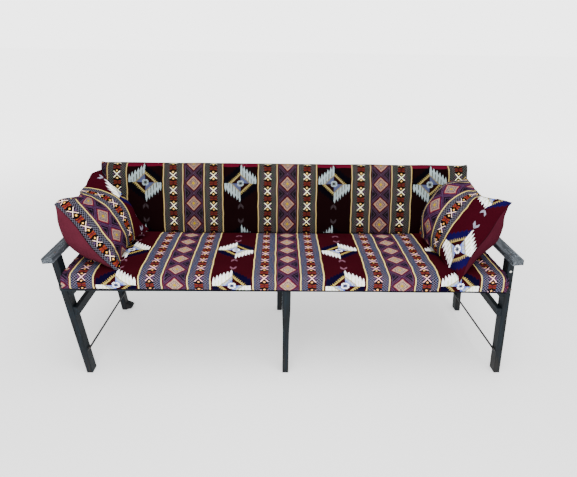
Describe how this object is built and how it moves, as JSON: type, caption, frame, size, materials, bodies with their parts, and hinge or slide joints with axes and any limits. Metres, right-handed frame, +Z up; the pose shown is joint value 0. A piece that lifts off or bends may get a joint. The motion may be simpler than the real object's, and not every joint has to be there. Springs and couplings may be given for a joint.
{
  "type": "majlis bench sofa",
  "caption": "Low wooden bench sofa in worn slate paint, with a striped kilim seat and reclined back and loose matching cushions leaning on its arms",
  "frame": {"origin": "On the floor, under the middle of the bench's overall width and depth", "axes": "+X to the right-hand end seen from the front, +Y to the back, +Z up; the front faces -Y"},
  "size_m": [1.8508, 0.6323, 0.8145],
  "materials": {
    "painted_wood": "matte worn paint",
    "iron": "dark, lightly rusted",
    "dark_steel": "blackened",
    "zinc": "dull plated",
    "woven_cover": "flat-woven wool, striped with figured bands",
    "cushion_cover": "flat-woven wool, striped with figured bands",
    "foam": "foam block, out of sight in its cover",
    "stuffing": "loose stuffing, out of sight in its cover"
  },
  "bodies": {
    "bench": {"arm_screws": "dark_steel", "back_cover": "woven_cover", "back_foam": "foam", "back_post_screws": "dark_steel", "back_slat_1": "painted_wood", "back_slat_2": "painted_wood", "back_slat_3": "painted_wood", "back_slat_screws": "dark_steel", "cover_tacks": "dark_steel", "front_rail": "painted_wood", "left_arm": "painted_wood", "left_back_post": "painted_wood", "left_front_leg": "painted_wood", "left_rear_leg": "painted_wood", "left_seat_bearer": "painted_wood", "left_stretcher": "painted_wood", "left_tie_rod": "iron", "leg_face_screw": "zinc", "leg_screws": "dark_steel", "middle_back_post": "painted_wood", "middle_front_leg": "painted_wood", "middle_rear_leg": "painted_wood", "middle_seat_bearer": "painted_wood", "rail_screws": "dark_steel", "rear_rail": "painted_wood", "right_arm": "painted_wood", "right_back_post": "painted_wood", "right_front_leg": "painted_wood", "right_rear_leg": "painted_wood", "right_seat_bearer": "painted_wood", "right_stretcher": "painted_wood", "right_tie_rod": "iron", "seat_cover": "woven_cover", "seat_foam": "foam", "seat_slat_1": "painted_wood", "seat_slat_2": "painted_wood", "seat_slat_3": "painted_wood", "seat_slat_4": "painted_wood", "seat_slat_5": "painted_wood", "slat_screws": "dark_steel", "tie_rod_screws": "dark_steel"},
    "left_cushion": {"left_cushion_cover": "cushion_cover", "left_cushion_filling": "stuffing"},
    "right_cushion": {"right_cushion_cover": "cushion_cover", "right_cushion_filling": "stuffing"}
  },
  "joints": [
    {"name": "left_cushion_lift", "type": "slide", "parent": "bench", "child": "left_cushion", "axis": [0, 0, 1], "range_m": [0, 0.4]},
    {"name": "right_cushion_lift", "type": "slide", "parent": "bench", "child": "right_cushion", "axis": [0, 0, 1], "range_m": [0, 0.4]}
  ]
}
